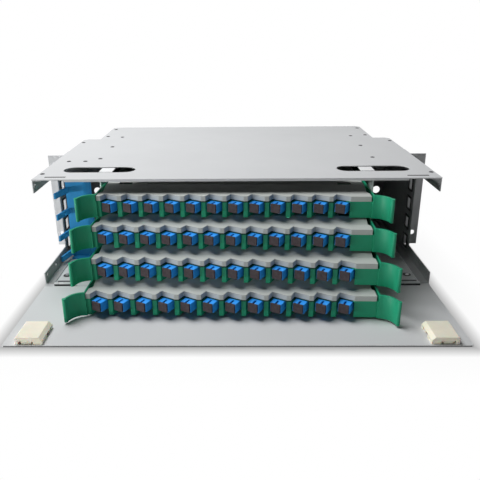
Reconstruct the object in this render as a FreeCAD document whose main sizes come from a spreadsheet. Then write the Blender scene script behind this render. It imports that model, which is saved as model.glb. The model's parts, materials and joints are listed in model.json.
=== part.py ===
import FreeCAD, Part
import math
import os
import Sketcher

# A 19-inch, three-unit fibre patch panel with four pull-out trays of twelve angled adapters.
# X runs to the right, Y into the rack and Z up. The origin is on the underside of the bottom plate,
# midway between the sides, in the plane where the ears meet the rack rails.

DIMENSIONS = {
    # Chassis sheet metal
    "body_width": 440.0,
    "body_height": 127.0,
    "sheet": 1.2,
    "front_reach": 119.0,
    "wide_depth": 216.0,
    "full_depth": 310.0,
    "rear_width": 394.0,
    "step_chamfer": 6.0,
    "lip_width": 370.0,
    "lip_height": 3.0,
    "strip_height": 14.5,
    "wall_start": 80.0,
    "flange": 10.0,
    "side_setback": 1.0,
    "window_length": 13.0,
    "window_height": 15.0,
    "window_pitch": 25.0,
    "window_first": 18.0,
    "window_setback": 7.5,
    "entry_x": 208.0,
    "entry_z": 49.0,
    "entry_radius": 5.5,
    # Cut-outs shared by the top cover and the bottom plate
    "hand_slot_length": 82.0,
    "hand_slot_width": 24.0,
    "hand_slot_x": 155.8,
    "hand_slot_depth": 41.0,
    "corner_slot_length": 22.0,
    "corner_slot_width": 2.2,
    "corner_slot_x": 197.0,
    "corner_slot_depth": 9.2,
    # Rack ears
    "ear_span": 482.6,
    "ear_sheet": 2.0,
    "ear_leg": 24.0,
    "ear_base": 3.0,
    "ear_top_gap": 1.0,
    "rack_pitch_x": 465.1,
    "rack_pitch_z": 88.9,
    "rack_slot_length": 10.0,
    "rack_slot_width": 6.8,
    # Front door, its hinges and its latches
    "door_length": 125.0,
    "door_width": 439.0,
    "door_gap": 2.8,
    "plate_overhang": 1.9,
    "knuckle_radius": 2.2,
    "pin_radius": 1.0,
    "pin_clearance": 0.05,
    "hinge_length": 24.0,
    "fixed_knuckle": 5.0,
    "knuckle_gap": 0.3,
    "hinge_notch": 2.8,
    "latch_inner": 181.0,
    "latch_outer": 207.0,
    "latch_length": 30.0,
    "latch_height": 7.5,
    "latch_slope": 3.4,
    "latch_bevel": 1.0,
    "latch_margin": 2.1,
    "bolt_x": 197.0,
    "bolt_width": 13.6,
    "bolt_thickness": 3.0,
    "bolt_setback": 1.2,
    "bolt_length": 24.0,
    "bolt_travel": 6.0,
    "bolt_bevel": 2.2,
    "tab_length": 6.0,
    "tab_recess": 0.6,
    "slide_clearance": 0.2,
    # Tray rack
    "rack_start": 36.0,
    "rack_end": 240.0,
    "rack_left": 154.6,
    "rack_right": 155.6,
    "rack_lip": 14.0,
    "rack_flange": 24.0,
    "rack_flange_start": 60.0,
    "runner_start": 46.0,
    "runner_end": 236.0,
    # Trays
    "tray_pitch": 28.0,
    "tray_floor": 5.0,
    "tray_1_out": 37.0,
    "tray_2_out": 58.7,
    "tray_3_out": 80.0,
    "tray_4_out": 99.2,
    "tray_1_shift": -2.7,
    "tray_2_shift": -5.0,
    "tray_3_shift": -2.9,
    "tray_4_shift": -5.5,
    "tray_1_skew": -1.4,
    "tray_2_skew": -2.4,
    "tray_3_skew": -2.7,
    "tray_4_skew": -1.3,
    "tray_width": 297.6,
    "tray_depth": 205.0,
    "tray_corner": 12.0,
    "tray_entry": 24.0,
    "tray_home": 25.0,
    "tray_wall": 1.5,
    "tray_side_height": 23.0,
    "base_bottom": 3.2,
    "base_thickness": 1.6,
    "runner_reach": 13.0,
    "runner_thickness": 1.4,
    # Sawtooth front of a tray
    "cell_count": 12.0,
    "cell_pitch": 22.55,
    "cell_first": -147.0,
    "adapter_turn": 28.0,
    "post_width": 4.5,
    "post_depth": 12.0,
    "post_height": 16.4,
    "front_drop": 1.6,
    "notch_depth": 0.6,
    "header_start": 15.0,
    "header_thickness": 2.0,
    "end_panel_x": 123.4,
    "end_panel_wall": 3.0,
    # Curved handles
    "handle_radius": 15.0,
    "handle_sweep": 65.0,
    "handle_run": 5.0,
    "handle_thickness": 2.0,
    "handle_top": 24.0,
    "corner_block": 2.4,
    "bead_radius": 1.9,
    # Tray lid
    "deck_width": 286.0,
    "lid_skin": 1.5,
    "skirt_thickness": 2.25,
    "ridge_height": 22.0,
    "ridge_right": 145.4,
    "ridge_flat": 12.0,
    "ridge_depth": 16.0,
    "step_run": 14.5,
    "lid_height": 26.0,
    # Adapters and their dust caps
    "adapter_width": 12.2,
    "adapter_height": 10.0,
    "adapter_bottom": 4.8,
    "adapter_front": 8.4,
    "adapter_back": 14.0,
    "port_width": 9.4,
    "port_height": 7.4,
    "key_width": 2.2,
    "key_length": 6.5,
    "cap_width": 10.4,
    "cap_height": 9.4,
    "cap_thickness": 1.6,
    "plug_length": 4.0,
    "plug_clearance": 0.1,
    # Fibre guide comb
    "guide_depth": 80.0,
    "guide_left": 211.0,
    "guide_flange": 8.0,
    "guide_bend": 189.0,
    "guide_thickness": 2.0,
    "guide_roll": 8.0,
    "guide_bottom": 2.8,
    "guide_top": 106.0,
    "finger_reach_x": 6.0,
    "finger_reach_y": 27.0,
    "finger_root": 3.0,
    "finger_height": 7.0,
    "finger_first": 9.7,
    "finger_pitch": 27.2,
}
TRAYS = (1, 2, 3, 4)
SIDES = {"left": -1, "right": 1}
OVERSHOOT = 1.0

DOC = FreeCAD.newDocument("FibrePatchPanel")
NODES = []


class Size:
    """A number that knows its value and the sheet expression that it comes from."""

    def __init__(self, value, text):
        self.value = value
        self.text = text

    def join(self, sign, other, value):
        return Size(value, f"({self.text} {sign} {other.text})")

    def __add__(self, other):
        other = as_size(other)
        return self.join("+", other, self.value + other.value)

    def __sub__(self, other):
        other = as_size(other)
        return self.join("-", other, self.value - other.value)

    def __mul__(self, other):
        other = as_size(other)
        return self.join("*", other, self.value * other.value)

    def __truediv__(self, other):
        other = as_size(other)
        return self.join("/", other, self.value / other.value)

    def __radd__(self, other):
        return as_size(other) + self

    def __rsub__(self, other):
        return as_size(other) - self

    def __rmul__(self, other):
        return as_size(other) * self

    def __neg__(self):
        return as_size(0.0) - self


def as_size(item):
    """Give a plain number the form of a size."""
    return item if isinstance(item, Size) else Size(float(item), repr(float(item)))


def sine(angle):
    return Size(math.sin(math.radians(angle.value)), f"sin({angle.text})")


def cosine(angle):
    return Size(math.cos(math.radians(angle.value)), f"cos({angle.text})")


class Sheet:
    """The sheet of driving dimensions, read as attributes."""

    def __init__(self, dimensions):
        table = DOC.addObject("Spreadsheet::Sheet", "Sizes")
        for row, (alias, value) in enumerate(dimensions.items(), start=1):
            table.set(f"A{row}", alias)
            table.set(f"B{row}", str(value))
            table.setAlias(f"B{row}", alias)
            setattr(self, alias, Size(value, f"Sizes.{alias}"))
        DOC.recompute()


S = Sheet(DIMENSIONS)
HALF_BODY = S.body_width / 2
HALF_REAR = S.rear_width / 2
CEILING = S.body_height - S.sheet
HALF_TRAY = S.tray_width / 2
SLANT = sine(S.adapter_turn) / cosine(S.adapter_turn)


def depth(behind_front):
    """Turn a distance behind the chassis' front edge into a Y coordinate."""
    return as_size(behind_front) - S.front_reach


def bind(item, prop, size):
    """Tie one property of a document object to the sheet."""
    item.setExpression(prop, as_size(size).text)


# Sketches, pads and patterns

def new_body(label):
    """Start a sub-part; its label names the file it is written to."""
    body = DOC.addObject("PartDesign::Body", label)
    body.Label = label
    body.AllowCompound = True
    NODES.append(body)
    return body


def new_sketch(body, plane, level, shift=None, turn=None):
    """Lay a sketch parallel to an origin plane of the body, at a level along that plane's normal."""
    support = [item for item in body.Origin.OriginFeatures if item.Role == f"{plane}_Plane"][0]
    sketch = body.newObject("Sketcher::SketchObject", f"{body.Name}_Sketch")
    sketch.AttachmentSupport = [(support, "")]
    sketch.MapMode = "FlatFace"
    if turn is not None:
        upright = FreeCAD.Rotation(FreeCAD.Vector(0, 1, 0), turn.value)
        sketch.AttachmentOffset = FreeCAD.Placement(FreeCAD.Vector(), upright)
        bind(sketch, "AttachmentOffset.Rotation.Angle", turn)
    if shift is not None:
        bind(sketch, "AttachmentOffset.Base.x", shift[0])
        bind(sketch, "AttachmentOffset.Base.y", shift[1])
    bind(sketch, "AttachmentOffset.Base.z", level)
    return sketch


def fix(sketch, kind, size, *points):
    """Add one dimension to a sketch and tie it to the sheet."""
    size = as_size(size)
    number = sketch.addConstraint(Sketcher.Constraint(kind, *points, size.value))
    bind(sketch, f"Constraints[{number}]", size)


def fix_point(sketch, edge, end, x, y):
    """Place one end of an edge by its two coordinates."""
    fix(sketch, "DistanceX", x, -1, 1, edge, end)
    fix(sketch, "DistanceY", y, -1, 1, edge, end)


def point(x, y):
    return FreeCAD.Vector(as_size(x).value, as_size(y).value, 0)


def arc_between(start, end, centre, turn):
    """An arc about a centre; a turn of 1 runs anticlockwise and -1 clockwise."""
    first, last = (start, end) if turn > 0 else (end, start)
    angles = [math.atan2(p.y - centre.y, p.x - centre.x) for p in (first, last)]
    circle = Part.Circle(centre, FreeCAD.Vector(0, 0, 1), (start - centre).Length)
    return Part.ArcOfCircle(circle, *angles)


def fix_centre(sketch, edge, start, end, corner):
    """Place an arc's centre along the line it is still free to move on."""
    if abs(end.y - start.y) >= abs(end.x - start.x):
        fix(sketch, "DistanceX", corner[2], -1, 1, edge, 3)
    else:
        fix(sketch, "DistanceY", corner[3], -1, 1, edge, 3)


def draw_outline(sketch, corners):
    """Draw a closed outline. A corner is (x, y), or (x, y, centre x, centre y, turn) before an arc."""
    spots = [point(*corner[:2]) for corner in corners]
    ends = []
    for corner, start, end in zip(corners, spots, spots[1:] + spots[:1]):
        if len(corner) == 2:
            edge = sketch.addGeometry(Part.LineSegment(start, end))
            ends.append((edge, 1, 2))
        else:
            arc = arc_between(start, end, point(*corner[2:4]), corner[4])
            edge = sketch.addGeometry(arc)
            ends.append((edge, 1, 2) if corner[4] > 0 else (edge, 2, 1))
    for before, after in zip(ends, ends[1:] + ends[:1]):
        sketch.addConstraint(Sketcher.Constraint("Coincident", before[0], before[2], after[0], after[1]))
    for number, (corner, (edge, start, _)) in enumerate(zip(corners, ends)):
        fix_point(sketch, edge, start, *corner[:2])
        if len(corner) > 2:
            fix_centre(sketch, edge, spots[number], spots[number + 1 - len(spots)], corner)


def mirrored(corners):
    """The same corners on the other side of the upright axis, in reverse order."""
    return [(-x, y) for x, y in reversed(corners)]


def draw_rectangle(sketch, x0, y0, x1, y1):
    draw_outline(sketch, [(x0, y0), (x1, y0), (x1, y1), (x0, y1)])


def draw_circle(sketch, x, y, radius):
    circle = Part.Circle(point(x, y), FreeCAD.Vector(0, 0, 1), as_size(radius).value)
    edge = sketch.addGeometry(circle)
    fix_point(sketch, edge, 3, x, y)
    fix(sketch, "Radius", radius, edge)


def draw_slot(sketch, x, y, length, width):
    """Draw an obround that is longer along the sketch's first axis."""
    half = (length - width) / 2
    radius = width / 2
    draw_outline(sketch, [
        (x - half, y - radius),
        (x + half, y - radius, x + half, y, 1),
        (x + half, y + radius),
        (x - half, y + radius, x - half, y, 1),
    ])


def pad(body, sketch, length):
    feature = body.newObject("PartDesign::Pad", f"{body.Name}_Pad")
    feature.Profile = sketch
    bind(feature, "Length", length)
    body.Tip = feature
    return feature


def pattern(body, originals, count, pitch):
    """Repeat features along the body's X axis."""
    axis = [item for item in body.Origin.OriginFeatures if item.Role == "X_Axis"][0]
    feature = body.newObject("PartDesign::LinearPattern", f"{body.Name}_Row")
    feature.Originals = originals
    feature.Direction = (axis, [""])
    bind(feature, "Length", (count - 1) * pitch)
    bind(feature, "Occurrences", count)
    body.Tip = feature


def slab(body, x0, y0, x1, y1, bottom, top):
    """Pad an upright rectangular wall or plate."""
    sketch = new_sketch(body, "XY", bottom)
    draw_rectangle(sketch, x0, y0, x1, y1)
    pad(body, sketch, top - bottom)


# Primitives for the hinges and latches

def box(x, y, z, length, width, height):
    item = DOC.addObject("Part::Box", "Block")
    for prop, size in zip(("Length", "Width", "Height"), (length, width, height)):
        bind(item, prop, size)
    for axis, size in zip("xyz", (x, y, z)):
        bind(item, f"Placement.Base.{axis}", size)
    return item


def rod(x, y, z, radius, length):
    """A round bar from a point along X."""
    item = DOC.addObject("Part::Cylinder", "Rod")
    sideways = FreeCAD.Rotation(FreeCAD.Vector(0, 1, 0), 90)
    item.Placement = FreeCAD.Placement(FreeCAD.Vector(), sideways)
    bind(item, "Radius", radius)
    bind(item, "Height", length)
    for letter, size in zip("xyz", (x, y, z)):
        bind(item, f"Placement.Base.{letter}", size)
    return item


def fuse(items):
    item = DOC.addObject("Part::MultiFuse", "Joined")
    item.Shapes = items
    return item


def cut(base, tool):
    item = DOC.addObject("Part::Cut", "Trimmed")
    item.Base = base
    item.Tool = tool
    return item


def name_node(item, label):
    item.Label = label
    NODES.append(item)


# Chassis

def plate_outline(front):
    """The stepped plan of the top cover and the bottom plate."""
    step = depth(S.wide_depth)
    right = [
        (HALF_BODY, depth(front)),
        (HALF_BODY, step - S.step_chamfer),
        (HALF_BODY - S.step_chamfer, step),
        (HALF_REAR, step),
        (HALF_REAR, depth(S.full_depth) - S.step_chamfer),
        (HALF_REAR - S.step_chamfer, depth(S.full_depth)),
    ]
    return right + mirrored(right)


def draw_plate_holes(sketch):
    """The long narrow slots near both front corners."""
    length = S.corner_slot_length / 2
    width = S.corner_slot_width / 2
    for side in SIDES.values():
        middle = side * S.corner_slot_x
        draw_rectangle(sketch, middle - length, depth(S.corner_slot_depth) - width,
                       middle + length, depth(S.corner_slot_depth) + width)


def top_cover():
    body = new_body("top_cover")
    sketch = new_sketch(body, "XY", CEILING)
    draw_outline(sketch, plate_outline(0.0))
    draw_plate_holes(sketch)
    for side in SIDES.values():
        draw_slot(sketch, side * S.hand_slot_x, depth(S.hand_slot_depth),
                  S.hand_slot_length, S.hand_slot_width)
    pad(body, sketch, S.sheet)
    slab(body, -S.lip_width / 2, depth(0.0), S.lip_width / 2, depth(S.sheet),
         S.body_height - S.lip_height, CEILING)


def hinge_bounds(side):
    """The two ends of one hinge along X, inner end first for the right side."""
    middle = side * S.corner_slot_x
    return middle - S.hinge_length / 2, middle + S.hinge_length / 2


def bottom_plate():
    """The bottom sheet, notched at both hinges, with the hinges' fixed knuckles and their pins."""
    sheet_body = new_body("bottom_sheet")
    NODES.remove(sheet_body)
    sketch = new_sketch(sheet_body, "XY", 0.0)
    draw_outline(sketch, plate_outline(-S.plate_overhang))
    draw_plate_holes(sketch)
    pad(sheet_body, sketch, S.sheet)
    notches = []
    rods = []
    edge = depth(-S.plate_overhang)
    room = OVERSHOOT
    for side in SIDES.values():
        x0, x1 = hinge_bounds(side)
        notches.append(box(x0 + S.fixed_knuckle, edge - room, -room, x1 - x0 - 2 * S.fixed_knuckle,
                           S.plate_overhang + room + S.hinge_notch, S.sheet + 2 * room))
        for start in (x0, x1 - S.fixed_knuckle):
            notches.append(box(start, edge - room, -room, S.fixed_knuckle,
                               S.plate_overhang + room, S.sheet + 2 * room))
            rods.append(rod(start, depth(0.0), S.knuckle_radius, S.knuckle_radius, S.fixed_knuckle))
        rods.append(rod(x0, depth(0.0), S.knuckle_radius, S.pin_radius, x1 - x0))
    name_node(fuse([cut(sheet_body, fuse(notches))] + rods), "bottom_plate")


def side_panel(name, side):
    """A folded side: an open front frame, a windowed wall, a step and the narrow rear wall."""
    body = new_body(f"{name}_side_panel")
    wall_level = side * HALF_BODY - (S.sheet if side > 0 else 0.0)
    floor = S.sheet
    step = depth(S.wide_depth)

    sketch = new_sketch(body, "YZ", wall_level)
    draw_outline(sketch, [
        (depth(S.side_setback), floor),
        (step, floor),
        (step, CEILING),
        (depth(S.side_setback), CEILING),
        (depth(S.side_setback), CEILING - S.strip_height),
        (depth(S.wall_start), CEILING - S.strip_height),
        (depth(S.wall_start), floor + S.strip_height),
        (depth(S.side_setback), floor + S.strip_height),
    ])
    window_start = depth(S.wall_start + S.window_setback)
    for row in range(len(TRAYS)):
        middle = S.window_first + row * S.window_pitch
        draw_rectangle(sketch, window_start, middle - S.window_height / 2,
                       window_start + S.window_length, middle + S.window_height / 2)
    pad(body, sketch, S.sheet)

    sketch = new_sketch(body, "XZ", -step)
    draw_rectangle(sketch, side * (HALF_REAR - S.sheet), floor, side * HALF_BODY, CEILING)
    draw_circle(sketch, side * S.entry_x, S.entry_z, S.entry_radius)
    pad(body, sketch, S.sheet)

    rear_level = side * HALF_REAR - (S.sheet if side > 0 else 0.0)
    sketch = new_sketch(body, "YZ", rear_level)
    draw_rectangle(sketch, step - S.sheet, floor, depth(S.full_depth) - S.sheet, CEILING)
    pad(body, sketch, S.sheet)

    strips = (
        (HALF_BODY, depth(S.side_setback), step - S.sheet),
        (HALF_REAR, step - S.sheet, depth(S.full_depth) - S.sheet),
    )
    for bottom in (floor, CEILING - S.sheet):
        for edge, start, end in strips:
            slab(body, side * (edge - S.flange), start, side * (edge - S.sheet / 2), end,
                 bottom, bottom + S.sheet)


def rear_panel():
    body = new_body("rear_panel")
    rear = depth(S.full_depth)
    inner = HALF_REAR - S.step_chamfer
    sketch = new_sketch(body, "XZ", -rear)
    draw_rectangle(sketch, -inner, S.sheet, inner, CEILING)
    pad(body, sketch, S.sheet)
    for bottom in (S.sheet, CEILING - S.sheet):
        slab(body, -inner + S.flange, rear - S.flange, inner - S.flange, rear - S.sheet / 2,
             bottom, bottom + S.sheet)


def rack_ear(name, side):
    """An angle bracket: a slotted ear for the rack rail and a leg against the side panel."""
    body = new_body(f"{name}_rack_ear")
    top = S.body_height - S.ear_top_gap
    sketch = new_sketch(body, "XZ", 0.0)
    draw_rectangle(sketch, side * HALF_BODY, S.ear_base, side * S.ear_span / 2, top)
    for turn in (-1, 1):
        draw_slot(sketch, side * S.rack_pitch_x / 2, (S.body_height + turn * S.rack_pitch_z) / 2,
                  S.rack_slot_length, S.rack_slot_width)
    pad(body, sketch, S.ear_sheet)
    level = side * HALF_BODY - (0.0 if side > 0 else S.ear_sheet)
    sketch = new_sketch(body, "YZ", level)
    draw_rectangle(sketch, -S.ear_sheet, S.ear_base, S.ear_leg, top)
    pad(body, sketch, S.ear_sheet)


# Front door, shown folded down flat in front of the chassis

def front_door():
    sheet_body = new_body("door_sheet")
    NODES.remove(sheet_body)
    sketch = new_sketch(sheet_body, "XY", 0.0)
    half = S.door_width / 2
    corner = S.step_chamfer / 2
    draw_outline(sketch, [
        (-half, depth(-S.door_gap)),
        (-half, depth(-S.door_length) + corner, corner - half, depth(-S.door_length) + corner, 1),
        (corner - half, depth(-S.door_length)),
        (half - corner, depth(-S.door_length), half - corner, depth(-S.door_length) + corner, 1),
        (half, depth(-S.door_length) + corner),
        (half, depth(-S.door_gap)),
    ])
    pad(sheet_body, sketch, S.sheet)
    parts = [sheet_body]
    bores = []
    for side in SIDES.values():
        length = S.hinge_length - 2 * (S.fixed_knuckle + S.knuckle_gap)
        start = side * S.corner_slot_x - length / 2
        overlap = S.sheet
        parts.append(box(start, depth(-S.door_gap - overlap), 0.0, length, S.door_gap + overlap, S.sheet))
        parts.append(rod(start, depth(0.0), S.knuckle_radius, S.knuckle_radius, length))
        bores.append(rod(start, depth(0.0), S.knuckle_radius, S.pin_radius + S.pin_clearance, length))
    name_node(cut(fuse(parts), fuse(bores)), "front_door")


def latch(name, side):
    """A latch on the door: a sloping housing and a bolt that slides out past the free edge."""
    front = depth(-S.door_length + S.latch_margin)
    top = S.sheet + S.latch_height
    gap = S.slide_clearance

    shell = new_body(f"{name}_latch_shell")
    NODES.remove(shell)
    sketch = new_sketch(shell, "XZ", -(front + S.latch_length))
    draw_outline(sketch, [
        (side * S.latch_inner, S.sheet),
        (side * S.latch_outer, S.sheet),
        (side * S.latch_outer, top - S.latch_bevel),
        (side * (S.latch_outer - S.latch_bevel), top),
        (side * (S.latch_inner + S.latch_slope), top),
        (side * S.latch_inner, top - S.latch_slope),
    ])
    pad(shell, sketch, S.latch_length)

    half = S.bolt_width / 2
    floor = S.sheet + S.slide_clearance
    height = S.bolt_thickness + 2 * gap
    bolt_end = front + S.bolt_setback + S.bolt_length
    channel = box(side * S.bolt_x - half - gap, front - OVERSHOOT, S.sheet, S.bolt_width + 2 * gap,
                  S.bolt_setback + S.bolt_length + gap + OVERSHOOT, height)
    window_length = S.tab_length + S.bolt_travel + 2 * gap
    window_width = S.bolt_x - S.latch_inner + OVERSHOOT
    window_start = S.latch_inner - OVERSHOOT if side > 0 else -S.bolt_x
    window = box(window_start, bolt_end + gap - window_length, S.sheet, window_width, window_length, height)
    name_node(cut(shell, fuse([channel, window])), f"{name}_latch_housing")

    bolt = new_body(f"{name}_latch_bolt")
    sketch = new_sketch(bolt, "XY", floor)
    nose = front + S.bolt_setback
    tab_tip = S.latch_inner + S.tab_recess
    draw_outline(sketch, [
        (side * (S.bolt_x - half + S.bolt_bevel), nose),
        (side * (S.bolt_x + half - S.bolt_bevel), nose),
        (side * (S.bolt_x + half), nose + S.bolt_bevel),
        (side * (S.bolt_x + half), bolt_end),
        (side * tab_tip, bolt_end),
        (side * tab_tip, bolt_end - S.tab_length),
        (side * (S.bolt_x - half), bolt_end - S.tab_length),
        (side * (S.bolt_x - half), nose + S.bolt_bevel),
    ])
    pad(bolt, sketch, S.bolt_thickness)


# Tray rack and fibre guide

def tray_level(number):
    """The height of a tray's lowest edge; tray 1 is at the top."""
    return S.tray_floor + (TRAYS[-1] - number) * S.tray_pitch


def tray_rack(name, side):
    """One upright of the tray rack, with a runner for each tray."""
    body = new_body(f"{name}_tray_rack")
    inner = S.rack_right if side > 0 else -S.rack_left
    level = inner - (0.0 if side > 0 else S.sheet)
    sketch = new_sketch(body, "YZ", level)
    draw_rectangle(sketch, depth(S.rack_start), S.sheet, depth(S.rack_end), CEILING)
    pad(body, sketch, S.sheet)

    outside = inner + side * (S.sheet / 2)
    sketch = new_sketch(body, "XY", CEILING - S.sheet)
    draw_outline(sketch, [
        (inner - side * S.rack_lip, depth(S.rack_start)),
        (outside, depth(S.rack_start)),
        (outside, depth(S.rack_flange_start)),
        (outside + side * S.rack_flange, depth(S.rack_flange_start) + S.rack_flange),
        (outside + side * S.rack_flange, depth(S.rack_end)),
        (inner - side * S.rack_lip, depth(S.rack_end)),
    ])
    pad(body, sketch, S.sheet)
    slab(body, outside, depth(S.rack_start), outside + side * S.rack_flange, depth(S.rack_end),
         S.sheet, 2 * S.sheet)

    sketch = new_sketch(body, "XZ", -depth(S.runner_end))
    gap = S.slide_clearance
    for number in TRAYS:
        runner_top = tray_level(number) + S.base_bottom - gap
        draw_rectangle(sketch, inner - side * S.runner_reach, runner_top - S.runner_thickness,
                       outside, runner_top)
    pad(body, sketch, S.runner_end - S.runner_start)


def fibre_guide():
    """The comb beside the trays: a flat web with a rolled edge, a foot and four fingers."""
    body = new_body("fibre_guide")
    front = depth(S.guide_depth)
    back = front + S.guide_thickness
    bend = -S.guide_bend
    roll_centre = front + S.guide_roll
    sketch = new_sketch(body, "XY", S.guide_bottom)
    draw_outline(sketch, [
        (-S.guide_left, front),
        (bend, front, bend, roll_centre, 1),
        (bend + S.guide_roll, roll_centre),
        (bend + S.guide_roll - S.guide_thickness, roll_centre, bend, roll_centre, -1),
        (bend, back),
        (-S.guide_left, back),
    ])
    pad(body, sketch, S.guide_top - S.guide_bottom)

    beside = S.flange + S.slide_clearance - HALF_BODY
    slab(body, beside, front - S.guide_flange, bend, back + S.guide_flange,
         S.sheet, S.sheet + S.guide_thickness)

    for row in range(len(TRAYS)):
        sketch = new_sketch(body, "XY", S.finger_first + row * S.finger_pitch - S.finger_height / 2)
        draw_outline(sketch, [
            (-S.guide_left, front),
            (-S.guide_left - S.finger_reach_x, front - S.finger_reach_y),
            (-S.guide_left - S.finger_reach_x + S.guide_thickness, front - S.finger_reach_y),
            (-S.guide_left + S.finger_root, front),
            (-S.guide_left + S.finger_root, back),
            (-S.guide_left, back),
        ])
        pad(body, sketch, S.finger_height)


# Trays, each built about its own front plane and moved to its place

def place_tray_piece(body, number):
    """Put a tray's piece in the rack: pulled out, and a little askew in its runners."""
    upright = FreeCAD.Vector(0, 0, 1)
    skew = getattr(S, f"tray_{number}_skew")
    body.Placement = FreeCAD.Placement(FreeCAD.Vector(), FreeCAD.Rotation(upright, skew.value))
    bind(body, "Placement.Rotation.Angle", skew)
    bind(body, "Placement.Base.x", getattr(S, f"tray_{number}_shift"))
    bind(body, "Placement.Base.y", depth(S.tray_home - getattr(S, f"tray_{number}_out")))
    bind(body, "Placement.Base.z", tray_level(number))


def slanted(x, y):
    """Follow the adapters' axis from a point on the front plane back to a depth."""
    return x + y * SLANT, y


def handle(body, side):
    """A curved finger pull at one front corner, ending in a bead."""
    thickness = S.handle_thickness
    start_x = side * (HALF_TRAY - S.tray_wall)
    centre_y = -S.handle_radius - thickness
    inner = S.handle_radius
    outer = S.handle_radius + thickness
    across = side * sine(S.handle_sweep)
    along = cosine(S.handle_sweep)

    def spot(radius, run):
        x = start_x + across * radius + side * along * run
        y = centre_y + along * radius - sine(S.handle_sweep) * run
        return x, y

    height = S.handle_top + S.front_drop
    sketch = new_sketch(body, "XY", -S.front_drop)
    draw_outline(sketch, [
        (start_x, centre_y + outer, start_x, centre_y, -side),
        spot(outer, 0.0),
        spot(outer, S.handle_run),
        spot(inner, S.handle_run),
        (*spot(inner, 0.0), start_x, centre_y, side),
        (start_x, centre_y + inner),
    ])
    pad(body, sketch, height)
    sketch = new_sketch(body, "XY", -S.front_drop)
    draw_circle(sketch, *spot(inner + thickness / 2, S.handle_run), S.bead_radius)
    pad(body, sketch, height)


def tray_base(number):
    body = new_body(f"tray_{number}_base")
    peak = adapter_peak()
    start = peak[1] + S.notch_depth
    corner = S.tray_corner
    back = S.tray_depth
    sketch = new_sketch(body, "XY", S.base_bottom)
    draw_outline(sketch, [
        (-HALF_TRAY, start),
        (HALF_TRAY, start),
        (HALF_TRAY, back - corner),
        (HALF_TRAY - corner, back),
        (corner - HALF_TRAY, back),
        (-HALF_TRAY, back - corner),
    ])
    pad(body, sketch, S.base_thickness)

    for side in (-1, 1):
        edge = side * HALF_TRAY
        slab(body, edge - side * S.tray_wall, -S.handle_thickness, edge, back - corner,
             S.base_bottom, S.tray_side_height)
        slab(body, edge - side * S.corner_block, -S.handle_thickness, edge, S.notch_depth,
             -S.front_drop, S.post_height)
        handle(body, side)

    rear_half = HALF_TRAY - corner - S.tray_entry
    slab(body, -rear_half, back - S.tray_wall, rear_half, back, S.base_bottom, S.tray_side_height)

    first = S.cell_first
    front_height = S.post_height + S.front_drop
    sketch = new_sketch(body, "XY", -S.front_drop)
    back_left = (S.post_depth - S.notch_depth) * SLANT
    draw_outline(sketch, [
        (first, 0.0),
        (first + S.post_width, 0.0),
        (first + slanted(S.post_width, S.post_depth)[0], S.post_depth),
        (first + back_left, S.post_depth),
        (first, S.notch_depth),
    ])
    post = pad(body, sketch, front_height)

    sketch = new_sketch(body, "XY", S.header_start)
    draw_outline(sketch, [
        (first + peak[0], peak[1]),
        (first + S.cell_pitch, S.notch_depth),
        (first + S.cell_pitch + S.header_thickness, S.notch_depth),
        (first + S.cell_pitch + S.header_thickness, S.notch_depth + S.header_thickness),
        (first + peak[0], peak[1] + S.header_thickness),
    ])
    header = pad(body, sketch, S.post_height - S.header_start)
    pattern(body, [post, header], S.cell_count, S.cell_pitch)

    wall = S.end_panel_wall
    sketch = new_sketch(body, "XY", -S.front_drop)
    draw_outline(sketch, [
        (S.end_panel_x, 0.0),
        (HALF_TRAY, 0.0),
        (HALF_TRAY, wall),
        (S.end_panel_x + wall + wall * SLANT, wall),
        (S.end_panel_x + wall + S.post_depth * SLANT, S.post_depth),
        (S.end_panel_x + (S.post_depth - S.notch_depth) * SLANT, S.post_depth),
        (S.end_panel_x, S.notch_depth),
    ])
    pad(body, sketch, front_height)
    place_tray_piece(body, number)


def adapter_peak():
    """The deepest corner of a sawtooth cell, where its slanted side meets the adapter's wall."""
    run = S.cell_pitch - S.post_width
    back = (run * SLANT + S.notch_depth) / (1.0 + SLANT * SLANT)
    return slanted(S.post_width, back)


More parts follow.
